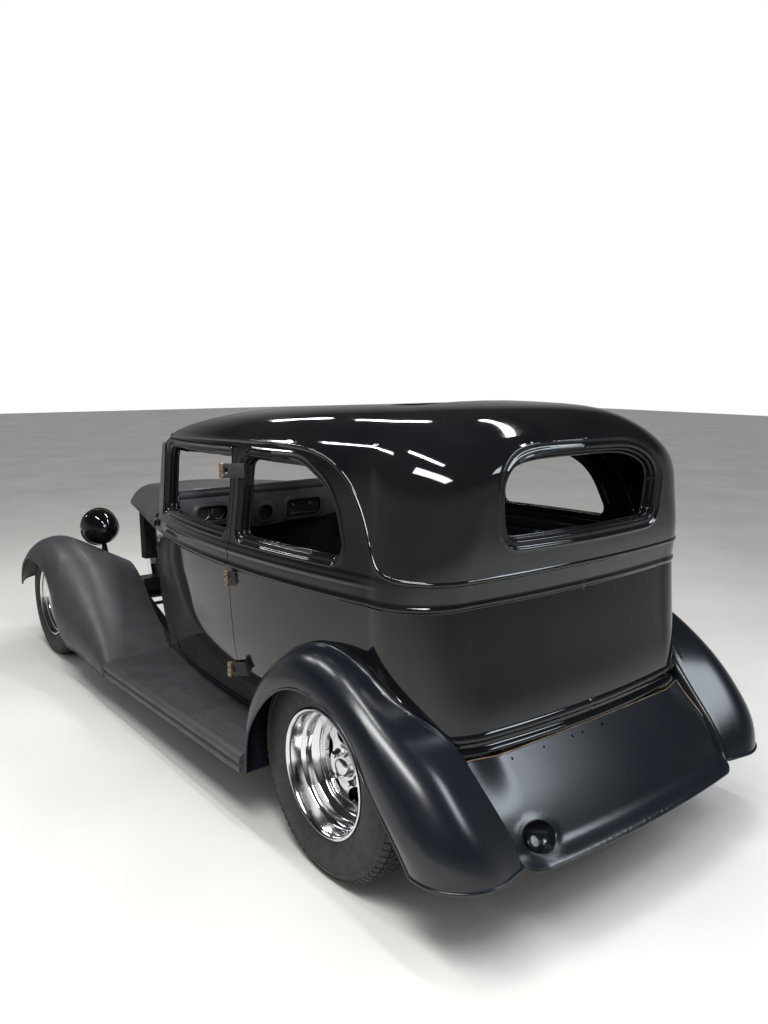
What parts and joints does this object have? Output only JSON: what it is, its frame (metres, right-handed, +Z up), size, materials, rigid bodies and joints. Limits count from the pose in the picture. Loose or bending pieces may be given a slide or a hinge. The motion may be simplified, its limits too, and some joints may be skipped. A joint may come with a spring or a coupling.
{
  "type": "hot rod car",
  "caption": "Two-door sedan street rod of the early 1930s with separate fenders, standing half built: no glass, no hood sides and an open roof.",
  "frame": {"origin": "on the floor under the middle of the bounding box", "axes": "+X forward to the grille, +Y to the left side of the car, +Z up"},
  "size_m": [4.0215, 1.7936, 1.5753],
  "materials": {
    "body_gloss": "deep gloss black",
    "door_gloss": "deep gloss black",
    "primer_charcoal": "satin dark charcoal",
    "sealer_blue_black": "semi gloss blue black sealer",
    "inner_black": "satin black",
    "dash_charcoal": "satin dark charcoal",
    "frame_black": "semi gloss black",
    "hinge_metal": "bare metal",
    "chrome_plate": "polished",
    "grille_bright": "bright",
    "lamp_black": "deep gloss black",
    "lamp_glass": "clear",
    "wheel_polish": "polished",
    "tyre_black": "worn black",
    "engine_iron": "bare",
    "gearbox_alloy": "as cast",
    "shaft_steel": "dull",
    "core_black": "matt black",
    "tank_steel": "satin black"
  },
  "bodies": {
    "body": {"cowl": "body_gloss", "dashboard": "dash_charcoal", "door_hinge_pins": "hinge_metal", "drive_shaft": "shaft_steel", "engine": "engine_iron", "firewall": "inner_black", "floor_pan": "inner_black", "frame": "frame_black", "front_axle": "frame_black", "front_fender_left": "primer_charcoal", "front_fender_right": "primer_charcoal", "fuel_tank": "tank_steel", "gearbox": "gearbox_alloy", "grille_bars": "grille_bright", "grille_shell": "chrome_plate", "headlamp_buckets": "lamp_black", "headlamp_lenses": "lamp_glass", "headlamp_rims": "chrome_plate", "quarter_panel_left": "body_gloss", "quarter_panel_right": "body_gloss", "radiator_core": "core_black", "radius_rods": "frame_black", "rear_axle": "frame_black", "rear_fender_left": "sealer_blue_black", "rear_fender_right": "sealer_blue_black", "roof_panel": "body_gloss", "running_boards": "primer_charcoal", "springs": "frame_black", "tail_panel": "body_gloss", "tank_cover": "sealer_blue_black", "wheel_tubs": "inner_black"},
    "door_left": {"door_left": "door_gloss"},
    "door_right": {"door_right": "door_gloss"},
    "hood": {"hood": "primer_charcoal"},
    "knuckle_left": {"knuckle_left": "frame_black"},
    "knuckle_right": {"knuckle_right": "frame_black"},
    "tie_rod": {"tie_rod": "frame_black"},
    "front_wheel_left": {"front_tyre_left": "tyre_black", "front_rim_left": "wheel_polish"},
    "front_wheel_right": {"front_tyre_right": "tyre_black", "front_rim_right": "wheel_polish"},
    "rear_wheel_left": {"rear_tyre_left": "tyre_black", "rear_rim_left": "wheel_polish"},
    "rear_wheel_right": {"rear_tyre_right": "tyre_black", "rear_rim_right": "wheel_polish"}
  },
  "joints": [
    {"name": "door_hinge_left", "type": "hinge", "parent": "body", "child": "door_left", "pos_m": [-0.64179, 0.77, 0.92179], "axis": [0.0332, 0, 0.9995], "range_deg": [0, 62]},
    {"name": "door_hinge_right", "type": "hinge", "parent": "body", "child": "door_right", "pos_m": [-0.64179, -0.77, 0.92179], "axis": [-0.0332, 0, -0.9995], "range_deg": [0, 62]},
    {"name": "hood_hinge", "type": "hinge", "parent": "body", "child": "hood", "pos_m": [0.46847, 0, 1.07706], "axis": [0, -1, 0], "range_deg": [0, 40]},
    {"name": "steer_left", "type": "hinge", "parent": "body", "child": "knuckle_left", "pos_m": [1.553, 0.64, 0.324], "axis": [0, 0, 1], "range_deg": [-20, 20]},
    {"name": "steer_right", "type": "hinge", "parent": "body", "child": "knuckle_right", "pos_m": [1.553, -0.64, 0.324], "axis": [0, 0, 1], "range_deg": [-20, 20]},
    {"name": "tie_rod_end", "type": "hinge", "parent": "knuckle_left", "child": "tie_rod", "pos_m": [1.435, 0.64, 0.232], "axis": [0, 0, 1], "range_deg": [-20, 20]},
    {"name": "front_wheel_spin_left", "type": "hinge", "parent": "knuckle_left", "child": "front_wheel_left", "pos_m": [1.553, 0.712, 0.324], "axis": [0, 1, 0], "continuous": true},
    {"name": "front_wheel_spin_right", "type": "hinge", "parent": "knuckle_right", "child": "front_wheel_right", "pos_m": [1.553, -0.712, 0.324], "axis": [0, 1, 0], "continuous": true},
    {"name": "rear_wheel_spin_left", "type": "hinge", "parent": "body", "child": "rear_wheel_left", "pos_m": [-1.292, 0.652, 0.367], "axis": [0, 1, 0], "continuous": true},
    {"name": "rear_wheel_spin_right", "type": "hinge", "parent": "body", "child": "rear_wheel_right", "pos_m": [-1.292, -0.652, 0.367], "axis": [0, 1, 0], "continuous": true}
  ],
  "couplings": [
    {"joint": "steer_right", "follows": "steer_left", "ratio": 1},
    {"joint": "tie_rod_end", "follows": "steer_left", "ratio": -1}
  ]
}
